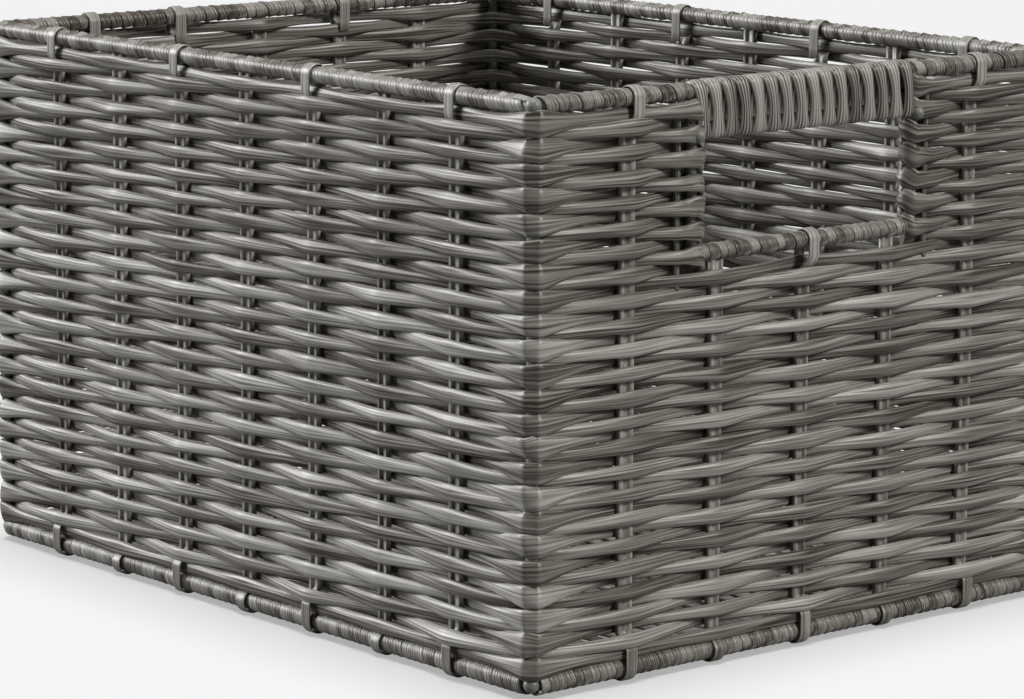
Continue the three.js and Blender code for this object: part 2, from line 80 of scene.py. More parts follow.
def add_soft_light(name, azimuth, elevation, spread, strength, color, receivers, blockers=None):
    """A distant light that is spread degrees wide and lights the collection of receivers, shaded by the
    blockers or, without any, by everything. Azimuth 0 stands in front of the basket, at -Y, and 90 at
    its right end."""
    data = bpy.data.lights.new(name, "SUN")
    data.angle = math.radians(spread)
    data.energy = strength
    data.color = color
    light = bpy.data.objects.new(name, data)
    turn = Matrix.Rotation(math.radians(azimuth), 4, "Z")
    light.matrix_world = turn @ Matrix.Rotation(math.radians(90 - elevation), 4, "X")
    light.light_linking.receiver_collection = receivers
    light.light_linking.blocker_collection = blockers
    bpy.context.scene.collection.objects.link(light)


def new_material(name):
    """A material with its node tree and its shader."""
    material = bpy.data.materials.new(name)
    material.use_nodes = True
    return material, material.node_tree, material.node_tree.nodes["Principled BSDF"]


def add_floor():
    """A flat square on the plane that the basket stands on."""
    half = floor_size / 2
    mesh = bpy.data.meshes.new("floor")
    corners = [(-half, -half, 0), (half, -half, 0), (half, half, 0), (-half, half, 0)]
    mesh.from_pydata(corners, [], [(0, 1, 2, 3)])
    floor = bpy.data.objects.new("floor", mesh)
    bpy.context.scene.collection.objects.link(floor)
    material, tree, shader = new_material("pale_floor")
    shader.inputs["Roughness"].default_value = 1
    rays = tree.nodes.new("ShaderNodeLightPath")
    shade = tree.nodes.new("ShaderNodeMix")
    shade.data_type = "RGBA"
    shade.inputs["A"].default_value = floor_bounce_color
    shade.inputs["B"].default_value = floor_color
    tree.links.new(rays.outputs["Is Camera Ray"], shade.inputs["Factor"])
    tree.links.new(shade.outputs["Result"], shader.inputs["Base Color"])
    mesh.materials.append(material)
    return floor


add_camera()
floor = add_floor()
floor_alone = bpy.data.collections.new("floor_alone")
all_but_floor = bpy.data.collections.new("all_but_floor")
for lit in (floor_alone, all_but_floor):
    lit.objects.link(floor)
all_but_floor.collection_objects[0].light_linking.link_state = "EXCLUDE"
# Each light's azimuth, elevation, spread, strength, colour, what it lights and, if not everything shades
# it, what does.
soft_lights = {
    "left_light": (-56, 21, 26, 3.25, light_white, all_but_floor),
    "right_light": (112, 30, 16, 2.1, light_warm, all_but_floor),
    "top_light": (0, 84, 40, 2.4, light_white, all_but_floor),
    "floor_light": (0, 90, 30, 1.6, light_white, floor_alone),
    "floor_fill": (0, 90, 30, 1.37, light_white, floor_alone, floor_alone),
}
for name, facts in soft_lights.items():
    add_soft_light(name, *facts)
world = bpy.data.worlds.new("pale_surroundings")
world.use_nodes = True
world.node_tree.nodes["Background"].inputs["Color"].default_value = sky_color
world.node_tree.nodes["Background"].inputs["Strength"].default_value = sky_strength
bpy.context.scene.world = world
bpy.context.scene.view_settings.view_transform = "Standard"


# Steel frame
# Two rounded rectangular hoops of painted wire, straight rails that join them at the rim and at the
# bottom of each end, and in the right end a hand-hold frame welded from four lengths of the same wire.
hoop_bend = 0.0037
weld_nub = 0.0010
weld_bead_radius = 0.0028
weld_nub_radius = 0.0024
weld_nub_offset = 0.0031
weld_cap_angle = 8
steel_tone = 0.5
paint_dark = (0.15, 0.16, 0.15, 1)
paint_light = (0.22, 0.235, 0.22, 1)
wire_sides = 24
bend_steps = 10
rod_steps = 8


def middle(node):
    """Middle of a CAD node's box."""
    low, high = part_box(node)
    return (np.array(low) + np.array(high)) / 2


def span(node):
    """Size of a CAD node's box along x, y and z."""
    low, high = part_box(node)
    return np.array(high) - np.array(low)


half_length = middle("woven_wall_right_lower")[0]
half_width = middle("woven_wall_back")[1]
rim_height = middle("rim_wrap_front")[2]
bar_height = middle("bottom_wrap_front")[2]
lower_bar_height = middle("handle_wrap")[2]
wire_radius = span("rim_rail_right")[2] / 2
side_bar_place = span("handle_frame")[1] / 2 - weld_nub - wire_radius
grip_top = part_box("grip_winding")[1].z
grip_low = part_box("grip_winding")[0].z
grip_outer = span("grip_winding")[0] / 2
grip_wire_height = grip_low + grip_outer


def unit(vectors):
    """The vectors at length one: each divided by the root of the sum of its squares."""
    return vectors / np.linalg.norm(vectors, axis=-1, keepdims=True)


def oval_section(sides, flatness=1.0):
    """Outline of a flat oval, as shares of its half width and half thickness. Its height is the sine of
    the angle to the power flatness."""
    angle = np.arange(sides) / sides * 2 * np.pi
    side, lift = np.cos(angle), np.sin(angle)
    return side, np.sign(lift) * np.abs(lift) ** flatness


def strand_rings(path, out, width, thickness, section, twist=0.0, closed=False):
    """Rings of points round a path: the section laid square to the path, its height pointing outwards,
    width across and thickness through. Twist turns it about the path."""
    if closed:
        along = np.roll(path, -1, axis=0) - np.roll(path, 1, axis=0)
    else:
        along = np.gradient(path, axis=0)
    along = unit(along)
    normal = unit(out - np.sum(out * along, axis=1, keepdims=True) * along)
    across = np.cross(normal, along)
    twist = np.broadcast_to(twist, len(path))[:, None]
    face = normal * np.cos(twist) + across * np.sin(twist)
    edge = across * np.cos(twist) - normal * np.sin(twist)
    side, lift = section
    width = np.broadcast_to(width, len(path))[:, None]
    thickness = np.broadcast_to(thickness, len(path))[:, None]
    a = (width / 2 * side)[..., None]
    b = (thickness / 2 * lift)[..., None]
    return path[:, None, :] + a * edge[:, None, :] + b * face[:, None, :]


def strands_object(name, strands, material, nodes):
    """One mesh of many strands. A strand is (rings, closed, tone): rings of points along it, whether its
    last ring joins its first, and its tone, one or one per ring. Four-sided faces join the rings and flat
    caps close the ends. The UV map runs along the strand in metres and round it from 0 to 1."""
    points, loops, starts, uvs, tones, smooth = [], [], [], [], [], []
    first_point = first_loop = 0
    for rings, closed, tone in strands:
        count, sides = rings.shape[:2]
        centre = rings.mean(axis=1)
        reach = np.roll(centre, -1, axis=0) - centre
        run = np.concatenate([[0], np.cumsum(np.linalg.norm(reach, axis=1))])
        joints = count if closed else count - 1
        i = np.arange(joints)[:, None]
        j = np.arange(sides)[None, :]
        here, there = i * sides, (i + 1) % count * sides
        following = (j + 1) % sides
        quads = np.stack([here + j, here + following, there + following, there + j], axis=-1).reshape(-1, 4)
        turned = np.broadcast_to(np.stack([j, j + 1, j + 1, j], axis=-1) / sides, (joints, sides, 4))
        passed = np.stack([run[i], run[i], run[i + 1], run[i + 1]], axis=-1)
        passed = np.broadcast_to(passed, (joints, sides, 4))
        points.append(rings.reshape(-1, 3))
        loops.append(first_point + quads.ravel())
        starts.append(first_loop + 4 * np.arange(len(quads)))
        uvs.append(np.stack([passed, turned], axis=-1).reshape(-1, 2))
        smooth.append(np.ones(len(quads), bool))
        first_loop += 4 * len(quads)
        if not closed:
            caps = np.concatenate([np.arange(sides)[::-1], (count - 1) * sides + np.arange(sides)])
            loops.append(first_point + caps)
            starts.append(first_loop + sides * np.arange(2))
            uvs.append(np.zeros((2 * sides, 2)))
            smooth.append(np.zeros(2, bool))
            first_loop += 2 * sides
        tones.append(np.repeat(np.broadcast_to(tone, count), sides))
        first_point += count * sides
    points, loops, starts = np.concatenate(points), np.concatenate(loops), np.concatenate(starts)
    mesh = bpy.data.meshes.new(name)
    mesh.vertices.add(len(points))
    mesh.vertices.foreach_set("co", points.astype(np.float32).ravel())
    mesh.loops.add(len(loops))
    mesh.loops.foreach_set("vertex_index", loops.astype(np.int32))
    mesh.polygons.add(len(starts))
    mesh.polygons.foreach_set("loop_start", starts.astype(np.int32))
    mesh.polygons.foreach_set("use_smooth", np.concatenate(smooth))
    mesh.update(calc_edges=True)
    mesh.uv_layers.new(name="UVMap").data.foreach_set("uv", np.concatenate(uvs).astype(np.float32).ravel())
    tone_layer = mesh.attributes.new("tone", "FLOAT", "POINT")
    tone_layer.data.foreach_set("value", np.concatenate(tones).astype(np.float32))
    mesh.validate()
    mesh.materials.append(material)
    piece = bpy.data.objects.new(name, mesh)
    bpy.context.scene.collection.objects.link(piece)
    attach(piece, "root")
    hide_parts(*nodes)
    return piece


def paint_group():
    """Node group of the powder coat: fine grains as a height, and broader patches as a mottle."""
    group = bpy.data.node_groups.new("powder_grain", "ShaderNodeTree")
    group.interface.new_socket("Grain Size", in_out="INPUT", socket_type="NodeSocketFloat")
    group.interface.new_socket("Mottle", in_out="OUTPUT", socket_type="NodeSocketFloat")
    group.interface.new_socket("Height", in_out="OUTPUT", socket_type="NodeSocketFloat")
    nodes, links = group.nodes, group.links
    entry, leave = nodes.new("NodeGroupInput"), nodes.new("NodeGroupOutput")
    place = nodes.new("ShaderNodeTexCoord")
    grains = nodes.new("ShaderNodeTexNoise")
    patches = nodes.new("ShaderNodeTexNoise")
    patches.inputs["Scale"].default_value = 60
    links.new(place.outputs["Object"], grains.inputs["Vector"])
    links.new(place.outputs["Object"], patches.inputs["Vector"])
    links.new(entry.outputs["Grain Size"], grains.inputs["Scale"])
    links.new(patches.outputs["Fac"], leave.inputs["Mottle"])
    links.new(grains.outputs["Fac"], leave.inputs["Height"])
    return group


def frame_paint():
    """Grey powder coat, mottled between a dark and a light shade, with the grain as its bump."""
    material, tree, shader = new_material("frame_paint")
    grain = tree.nodes.new("ShaderNodeGroup")
    grain.node_tree = paint_group()
    grain.inputs["Grain Size"].default_value = 2500
    shades = tree.nodes.new("ShaderNodeValToRGB")
    shades.color_ramp.elements[0].color = paint_dark
    shades.color_ramp.elements[1].color = paint_light
    bump = tree.nodes.new("ShaderNodeBump")
    bump.inputs["Strength"].default_value = 0.15
    bump.inputs["Distance"].default_value = 0.0002
    shader.inputs["Roughness"].default_value = 0.42
    tree.links.new(grain.outputs["Mottle"], shades.inputs["Fac"])
    tree.links.new(shades.outputs["Color"], shader.inputs["Base Color"])
    tree.links.new(grain.outputs["Height"], bump.inputs["Height"])
    tree.links.new(bump.outputs["Normal"], shader.inputs["Normal"])
    return material


wire_section = oval_section(wire_sides)


def wire_strand(path, out, closed=False):
    """Round wire: a circle of the wire's radius at each point of the path."""
    path = np.array(path, float)
    out = np.broadcast_to(np.array(out, float), path.shape)
    rings = strand_rings(path, out, 2 * wire_radius, 2 * wire_radius, wire_section, closed=closed)
    return rings, closed, steel_tone


def hoop_path(y):
    """Rounded rectangle through the middle of the hoop's wire: a quarter circle at each corner."""
    across = half_length - hoop_bend
    low, high = bar_height + hoop_bend, rim_height - hoop_bend
    corners = [(across, low, -90), (across, high, 0), (-across, high, 90), (-across, low, 180)]
    points = []
    for x, z, start in corners:
        angle = np.radians(start + np.linspace(0, 90, bend_steps))
        bend = hoop_bend * np.stack([np.cos(angle), 0 * angle, np.sin(angle)], 1)
        points += list(bend + (x, y, z))
    return points


def rod(start, end, out):
    """A straight wire from start to end."""
    return wire_strand(np.linspace(start, end, rod_steps), out)


def weld_bead(place, radius=weld_bead_radius):
    """A ball of weld metal at a joint of the frame: rings along x, each as wide as the sine of its angle."""
    angle = np.radians(np.linspace(weld_cap_angle, 180 - weld_cap_angle, bend_steps))
    path = np.array(place) - radius * np.cos(angle)[:, None] * (1, 0, 0)
    up = np.broadcast_to((0.0, 0.0, 1.0), path.shape)
    size = 2 * radius * np.sin(angle)
    return strand_rings(path, up, size, size, wire_section), False, steel_tone


frame_steel = frame_paint()
for side, y in (("front", -half_width), ("back", half_width)):
    hoop = wire_strand(hoop_path(y), (0, 1, 0), closed=True)
    corners = [(x, y, z) for x in (-half_length, half_length) for z in (bar_height, rim_height)]
    beads = [weld_bead(corner) for corner in corners]
    strands_object(f"hoop_{side}", [hoop, *beads], frame_steel, [f"wire_hoop_{side}"])
for side, x in (("right", half_length), ("left", -half_length)):
    reach = span(f"rim_rail_{side}")[1] / 2
    for level, height in (("rim", rim_height), ("bottom", bar_height)):
        rail = rod((x, -reach, height), (x, reach, height), (0, 0, 1))
        strands_object(f"{level}_wire_{side}", [rail], frame_steel, [f"{level}_rail_{side}"])
nub_reach = side_bar_place + wire_radius + weld_nub
frame_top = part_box("handle_frame")[1].z
hold_bars = []
for z in (grip_wire_height, lower_bar_height):
    hold_bars.append(rod((half_length, -nub_reach, z), (half_length, nub_reach, z), (0, 0, 1)))
for y in (-side_bar_place, side_bar_place):
    hold_bars.append(rod((half_length, y, lower_bar_height), (half_length, y, frame_top), (1, 0, 0)))
    nub = (half_length + weld_nub_offset, y, grip_wire_height - wire_radius)
    hold_bars.append(weld_bead(nub, weld_nub_radius))
strands_object("hand_hold_wires", hold_bars, frame_steel, ["handle_frame"])


# Woven walls
# Flat oval strands of moulded synthetic cane with four soft ribs, woven over one upright and behind the
# next. Below the hand-hold each row is one closed ring. Beside it one long strand goes back and forth: it
# turns round the one side bar, runs round the basket and turns round the other.
row_count = 45
ring_rows = 31
rows_per_piece = 11
crest_width = 0.0054
inner_width = 0.0058
crossing_width = 0.0043
crest_thickness = 0.0024
crossing_thickness = 0.0030
crest_offset = 0.0030
post_offset = 0.0030
post_width = 0.0082
crest_lead = 0.016
turn_radius = 0.0031
turn_width = 0.0074
quarter_lead_share = 1.66
stretch_steps = 13
height_wander = 0.00022
offset_wander = 0.0003
width_wander = 0.07
twist_wander = math.radians(9)
crossing_twist = math.radians(7)
strand_flatness = 0.72
rib_count = 4
cord_swerve = 0.007
cord_drop = 0.0055
cord_on_rim = 0.0036
cord_on_bottom = 0.0046
lone_cord_gap = 0.0069
strand_sides = 16
strand_tones = (0.2, 0.8)
cane_tones = ((0.038, 0.029, 0.021), (0.145, 0.135, 0.12), (0.255, 0.245, 0.225), (0.42, 0.41, 0.385))
darkest_value = 0.36
lightest_value = 0.62
tone_share = 0.25
patch_share = 0.18
patch_round_share = 0.14
bump_rib_share = 0.3
tone_shift = 97
cane_section = oval_section(strand_sides, strand_flatness)
cane_shades = [(*tone, 1) for tone in cane_tones]
chance = np.random.default_rng(7)


def cane_group():
    """Node group of the cane's surface, on the UV map. Ribs lie across the strand, a cosine of its width,
    streaks are noise that is drawn out along it and shifted by the strand's tone, and patches are the same
    noise, broader and softer."""
    group = bpy.data.node_groups.new("cane_surface", "ShaderNodeTree")
    for name in ("Rib Turn", "Streaks Round", "Streaks Along"):
        group.interface.new_socket(name, in_out="INPUT", socket_type="NodeSocketFloat")
    for name in ("Rib", "Streak", "Patch"):
        group.interface.new_socket(name, in_out="OUTPUT", socket_type="NodeSocketFloat")
    nodes, links = group.nodes, group.links
    entry, leave = nodes.new("NodeGroupInput"), nodes.new("NodeGroupOutput")

    def calculated(operation, first, second=None, constant=None):
        """Result of one sum on a value, and on a second value or a constant where it takes two."""
        node = nodes.new("ShaderNodeMath")
        node.operation = operation
        links.new(first, node.inputs[0])
        if second is not None:
            links.new(second, node.inputs[1])
        elif constant is not None:
            node.inputs[1].default_value = constant
        return node.outputs["Value"]

    place = nodes.new("ShaderNodeUVMap")
    place.uv_map = "UVMap"
    split = nodes.new("ShaderNodeSeparateXYZ")
    links.new(place.outputs["UV"], split.inputs["Vector"])
    tone = nodes.new("ShaderNodeAttribute")
    tone.attribute_name = "tone"
    side = calculated("COSINE", calculated("MULTIPLY", split.outputs["Y"], constant=2 * math.pi))
    rib = calculated("COSINE", calculated("MULTIPLY", side, second=entry.outputs["Rib Turn"]))
    links.new(rib, leave.inputs["Rib"])
    along = calculated("MULTIPLY", split.outputs["X"], second=entry.outputs["Streaks Along"])
    across = calculated("MULTIPLY", split.outputs["Y"], second=entry.outputs["Streaks Round"])
    shift = calculated("MULTIPLY", tone.outputs["Fac"], constant=tone_shift)
    for result, share, detail in (("Streak", 1, 3), ("Patch", patch_round_share, 1)):
        joined = nodes.new("ShaderNodeCombineXYZ")
        links.new(along, joined.inputs["X"])
        links.new(calculated("MULTIPLY", across, constant=share), joined.inputs["Y"])
        links.new(shift, joined.inputs["Z"])
        noise = nodes.new("ShaderNodeTexNoise")
        noise.inputs["Scale"].default_value = 1
        noise.inputs["Detail"].default_value = detail
        links.new(joined.outputs["Vector"], noise.inputs["Vector"])
        links.new(noise.outputs["Fac"], leave.inputs[result])
    return group


def cane(name, streaks_round, streaks_along, rib_depth, groove_shade_and_dirt):
    """Moulded cane. Streaks, ribs, patches and tone are mixed to a value that chooses among the shades,
    from the darkest to the lightest. In the colour the ribs are painted shade, with some dirt, that darkens
    their grooves against lighter crowns. Ribs and streaks together make its bump."""
    material, tree, shader = new_material(name)
    nodes, links = tree.nodes, tree.links
    surface = nodes.new("ShaderNodeGroup")
    surface.node_tree = bpy.data.node_groups.get("cane_surface") or cane_group()
    surface.inputs["Rib Turn"].default_value = rib_count * math.pi
    surface.inputs["Streaks Round"].default_value = streaks_round
    surface.inputs["Streaks Along"].default_value = streaks_along
    tone = nodes.new("ShaderNodeAttribute")
    tone.attribute_name = "tone"

    def mixed(factor, first, second):
        """The first value carried towards the second by the factor."""
        mix = nodes.new("ShaderNodeMix")
        mix.data_type = "FLOAT"
        mix.inputs["Factor"].default_value = factor
        links.new(first, mix.inputs["A"])
        links.new(second, mix.inputs["B"])
        return mix.outputs["Result"]

    # The ribs' share of the colour is painted shade, with some dirt: darker in the grooves, lighter on the
    # crowns.
    groove_shaded = mixed(groove_shade_and_dirt, surface.outputs["Streak"], surface.outputs["Rib"])
    patchy = mixed(patch_share, groove_shaded, surface.outputs["Patch"])
    value = mixed(tone_share, patchy, tone.outputs["Fac"])
    ramp = nodes.new("ShaderNodeValToRGB")
    places = np.linspace(darkest_value, lightest_value, len(cane_shades))
    ramp.color_ramp.elements.remove(ramp.color_ramp.elements[1])
    ramp.color_ramp.elements[0].position = places[0]
    ramp.color_ramp.elements[0].color = cane_shades[0]
    for spot, shade in zip(places[1:], cane_shades[1:]):
        ramp.color_ramp.elements.new(spot).color = shade
    bump = nodes.new("ShaderNodeBump")
    bump.inputs["Strength"].default_value = 0.8
    bump.inputs["Distance"].default_value = rib_depth
    shader.inputs["Roughness"].default_value = 0.4
    links.new(value, ramp.inputs["Fac"])
    links.new(ramp.outputs["Color"], shader.inputs["Base Color"])
    relief = mixed(bump_rib_share, surface.outputs["Streak"], surface.outputs["Rib"])
    links.new(relief, bump.inputs["Height"])
    links.new(bump.outputs["Normal"], shader.inputs["Normal"])
    return material


def smooth_between(values, steps, closed):
    """Values at the places, carried between them on a smooth step, 3 t squared less 2 t cubed."""
    values = np.asarray(values, float)
    following = np.roll(values, -1, axis=0) if closed else values[1:]
    start = values if closed else values[:-1]
    share = np.arange(steps) / steps
    ease = 3 * share**2 - 2 * share**3
    between = (start[:, None] + (following - start)[:, None] * ease).reshape(-1)
    return between if closed else np.append(between, values[-1])


def through(places, headings, leads_in, leads_out, steps, closed):
    """A smooth path through places. Each stretch is a cubic Hermite curve: it leaves a place along its
    heading and arrives at the next along that one's; a lead says how far the heading holds."""
    arrive = headings * np.asarray(leads_in)[:, None]
    leave = headings * np.asarray(leads_out)[:, None]
    if closed:
        starts, ends = places, np.roll(places, -1, axis=0)
        leave_start, arrive_end = leave, np.roll(arrive, -1, axis=0)
    else:
        starts, ends = places[:-1], places[1:]
        leave_start, arrive_end = leave[:-1], arrive[1:]
    t = (np.arange(steps) / steps)[None, :, None]
    path = (
        (2 * t**3 - 3 * t**2 + 1) * starts[:, None]
        + (t**3 - 2 * t**2 + t) * leave_start[:, None]
        + (3 * t**2 - 2 * t**3) * ends[:, None]
        + (t**3 - t**2) * arrive_end[:, None]
    ).reshape(-1, 3)
    return path if closed else np.concatenate([path, places[-1:]])


def crest_share(count, steps, closed):
    """1 at each upright and 0 halfway between two: the square of a cosine."""
    share = np.tile(np.cos(np.pi * np.arange(steps) / steps) ** 2, count if closed else count - 1)
    return share if closed else np.append(share, 1.0)


def cord_foot(number):
    """How far a cord stands straight above the bottom bar: a drop where the first row passes inside the
    cord, and nothing where it passes outside. Its number round the basket and its number along its side
    are both odd or both even, because the posts' numbers are even."""
    return cord_drop * (number % 2)


def cord_offset(height, hooked, foot):
    """How far outwards an upright cord stands at a height: it swerves on half a cosine wave from the
    middle of the wall to the outside of the bottom bar and, where it is hooked, of the rim."""
    near_bottom = np.clip(1 - (height - bar_height - foot) / cord_swerve, 0, 1)
    near_top = np.clip(1 - (rim_height - cord_drop - height) / cord_swerve, 0, 1) * hooked
    low, high = ((1 - np.cos(np.pi * near)) / 2 for near in (near_bottom, near_top))
    return max(cord_on_bottom * low, cord_on_rim * high)


# The uprights in order round the basket, anticlockwise from the front left post. Each is its place, the
# way out of its wall and the way along it, whether it is a post or a stake, and 1 if it is hooked over
# the rim. A post belongs to the wall that starts at it. A side's facts are its way out, its way along,
# how far out it stands, and how far it reaches along.
side_facts = {
    "front": (np.array([0, -1]), np.array([1, 0]), half_width, half_length),
    "right": (np.array([1, 0]), np.array([0, 1]), half_length, half_width),
    "back": (np.array([0, 1]), np.array([-1, 0]), half_width, half_length),
    "left": (np.array([-1, 0]), np.array([0, -1]), half_length, half_width),
}
stake_counts = {"front": 7, "right": 5, "back": 7, "left": 5}


def stake_place(side, number):
    """Where a stake stands in the middle of its wall, as far along it as the stake's CAD node."""
    out, along, half, _ = side_facts[side]
    centre = middle(f"stake_{side}_{number}")[:2]
    return out * half + along * np.dot(centre, along)


def is_hooked(side, number):
    """A cord is hooked over the rim if its CAD node reaches above the rim."""
    return float(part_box(f"stake_{side}_{number}")[1].z > rim_height)


uprights = []
for side, count in stake_counts.items():
    out, along, half, reach = side_facts[side]
    uprights.append((out * half - along * reach, out, along, "post", 0.0))
    for number in range(1, count + 1):
        uprights.append((stake_place(side, number), out, along, "stake", is_hooked(side, number)))


row_pitch = span("woven_wall_front")[2] / row_count


def row_heights(low_row, rows):
    """Heights of the middles of some rows, which lie one pitch apart from the wall's lower edge upwards."""
    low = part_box("woven_wall_front")[0].z
    return low + (np.arange(low_row, low_row + rows) + 0.5) * row_pitch


def key(place, height, heading, lead_in, lead_out, width, sense):
    """A place that a strand passes, its heading there, how far the heading holds before and after it, the
    strand's width, and the sense of the stretch that follows: between two uprights it is 1, or -1 on the
    way back, and on a bend or a straight facet it is 0."""
    return [*place, height], [*heading, 0], lead_in, lead_out, width, sense


def weave_keys(row, height, members):
    """The strand of one row passes outside an upright where the row and the upright's number add up to an
    even number, and inside it elsewhere. Round the outside of a post it is creased twice and lies straight
    between the creases."""
    keys = []
    for number in members:
        place, out, along, kind, hooked = uprights[number]
        outside = 1 if (row + number) % 2 == 0 else -1
        level = height + chance.normal() * height_wander
        if kind == "stake":
            reach = outside * (crest_offset + chance.normal() * offset_wander)
            spot = place + out * (cord_offset(height, hooked, cord_foot(number)) + reach)
            width = crest_width if outside > 0 else inner_width
            keys.append(key(spot, level, along, crest_lead, crest_lead, width, 1))
        elif outside < 0:
            spot = place - unit(out - along) * post_offset
            keys.append(key(spot, level, unit(out + along), crest_lead, crest_lead, crest_width, 1))
        else:
            keys.append(key(place - along * post_offset, level, out, crest_lead, 0, post_width, 0))
            keys.append(key(place + out * post_offset, level, along, 0, crest_lead, post_width, 1))
    return keys


def run_back(keys):
    """The same keys from the last to the first, with the senses of the stretches between them reversed."""
    senses = [-entry[-1] for entry in keys[:-1]][::-1] + [0]
    turned = []
    for (place, heading, lead_in, lead_out, width, _), sense in zip(keys[::-1], senses):
        turned.append((place, [-part for part in heading], lead_out, lead_in, width, sense))
    return turned


def woven_strand(keys, closed):
    """A strand through its keys. Between two uprights it narrows, thickens and is twisted so that its
    upper edge leans into the wall."""
    steps = stretch_steps
    places, headings, leads_in, leads_out, widths, senses = (np.array(part, float) for part in zip(*keys))
    count = len(places)
    path = through(places, headings, leads_in, leads_out, steps, closed)
    sense = np.repeat(senses, steps) if closed else np.append(np.repeat(senses[:-1], steps), 0)
    crest = np.where(sense == 0, 1, crest_share(count, steps, closed))
    wander = smooth_between(chance.normal(size=count), steps, closed)
    twist = smooth_between(chance.normal(size=count), steps, closed) * twist_wander
    twist += crossing_twist * (1 - crest) * sense
    onward = np.roll(path, -1, axis=0) - np.roll(path, 1, axis=0) if closed else np.gradient(path, axis=0)
    out = np.cross(onward, (0, 0, 1))
    widest = smooth_between(widths, steps, closed)
    width = (crossing_width + (widest - crossing_width) * crest) * (1 + width_wander * wander)
    thickness = crossing_thickness + (crest_thickness - crossing_thickness) * crest
    rings = strand_rings(path, out, width, thickness, cane_section, twist, closed)
    return rings, closed, chance.uniform(*strand_tones)


cane_strand = cane("cane_strand", streaks_round=24, streaks_along=22, rib_depth=0.00007, groove_shade_and_dirt=0.03)
ring_heights = row_heights(0, ring_rows)
round_walls = ["woven_wall_front", "woven_wall_back", "woven_wall_left"]
lower_walls = [*round_walls, "woven_wall_right_lower"]
everywhere = range(len(uprights))
for first_row in range(0, ring_rows, rows_per_piece):
    strands = []
    for row in range(first_row, min(first_row + rows_per_piece, ring_rows)):
        strands.append(woven_strand(weave_keys(row, ring_heights[row], everywhere), True))
    number = first_row // rows_per_piece + 1
    strands_object(f"woven_rows_{number}", strands, cane_strand, lower_walls)


def bar_keys(bar, onward, outside, height):
    """From the lone cord beside a side bar to the bar and round its far side, onward being the way from
    the cord to the bar. Outside is 1 where the strand arrives on the outer side and -1 on the inner. A
    quarter turn is nearly a circle's, because its headings hold for quarter_lead_share times its radius."""
    face = np.array([outside, 0])
    quarter = quarter_lead_share * turn_radius
    before = bar - onward * lone_cord_gap
    beyond = bar + onward * turn_radius
    return [
        key(before + face * crest_offset, height, onward, crest_lead, lone_cord_gap, crest_width, 0),
        key(bar + face * turn_radius, height, onward, lone_cord_gap, quarter, turn_width, 0),
        key(beyond, height + row_pitch / 2, -face, quarter, quarter, turn_width, 0),
    ]


def turning_strand(members, start_bar, end_bar):
    """One strand that fills the rows beside the hand-hold. It runs from the one side bar past the uprights
    of members to the other, turns round it and comes back as the next row. The lone cord beside each bar
    counts as the upright before the first member and after the last, and both their numbers are even.
    Both ends of the strand lie behind a bar: where they arrive on its outer side, they go on round it."""
    rows = row_count - ring_rows
    heights = row_heights(ring_rows, rows)
    along = np.array([0, 1])
    behind = np.array([-turn_radius, 0])
    quarter = quarter_lead_share * turn_radius
    keys = []
    for index, height in enumerate(heights):
        row = ring_rows + index
        outside = 1 if (row + members[0] - 1) % 2 == 0 else -1
        passed = weave_keys(row, height, members)
        if index % 2:
            passed = run_back(passed)
            from_bar, to_bar, onward = end_bar, start_bar, -along
        else:
            from_bar, to_bar, onward = start_bar, end_bar, along
        start = run_back(bar_keys(from_bar, -onward, outside, height - row_pitch))
        if index == 0 and outside > 0:
            low = height - row_pitch / 2
            keys.append(key(from_bar + behind, low, -onward, quarter, quarter, turn_width, 0))
            keys.append(start[0])
        for place, *rest in start[1:]:
            keys.append(([*place[:2], height], *rest))
        keys[-1] = (*keys[-1][:-1], onward[1])
        keys += passed
        keys[-1] = (*keys[-1][:-1], onward[1])
        keys += bar_keys(to_bar, onward, outside, height)
    if outside > 0:
        high = height + row_pitch / 2
        keys.append(key(to_bar + behind, high, -onward, quarter, quarter, turn_width, 0))
    else:
        keys.pop()
    return woven_strand(keys, False)


posts = [number for number, upright in enumerate(uprights) if upright[3] == "post"]
front_left, front_right, back_right, back_left = posts
members = [*range(back_right - 1, len(uprights)), *range(front_left, front_right + 2)]
start_bar = np.array([half_length, side_bar_place])
end_bar = np.array([half_length, -side_bar_place])
upper_strand = turning_strand(members, start_bar, end_bar)
upper_walls = [*round_walls, "woven_wall_right_front", "woven_wall_right_back"]
strands_object("woven_upper_rows", [upper_strand], cane_strand, upper_walls)


# Upright cords
# Flat twin cords of moulded cane, two round beads joined by a thin web. They stand inside the weave and
# are all bent round the bottom bars. About every second one is hooked over the rim or the lower bar.
cord_thickness = 0.0025
least_cord_width = 0.0058
most_cord_width = 0.0072
hook_width = 0.0050
hook_thickness = 0.0007
hook_tail = 0.0105
cord_end_depth = 0.0012
right_hook_shift = 0.0022
hook_tone = 0.5
# The cords' tones lie above the strands' as painted light, lifting them where they stand recessed in shade.
cord_painted_light_tones = (0.6, 1.0)
lone_cord_tone = 0.4
lone_cord_root_rows = 2
flat_by_share = 0.5
foot_turn_share = 3 / 8
web_share = 0.12
hook_web_share = 0.97
bead_place_share = 0.64
open_angle = math.radians(168)
cord_sides = 24
lone_cord_sides = 10
tail_steps = 4
arc_steps = 10
straight_steps = 24


def twin_section(sides, web):
    """Outline of two beads and a web: each bead is most of a circle, and the web is a share of their
    thickness, one or one per ring."""
    angle = np.linspace(-open_angle, open_angle, sides // 2)
    side = bead_place_share + (1 - bead_place_share) * np.cos(angle)
    lift = np.sin(angle)
    filled = np.sign(lift) * np.maximum(np.abs(lift), np.asarray(web)[..., None])
    lift = np.where(side < bead_place_share, filled, lift)
    return np.concatenate([side, -side[::-1]]), np.concatenate([lift, lift[..., ::-1]], axis=-1)


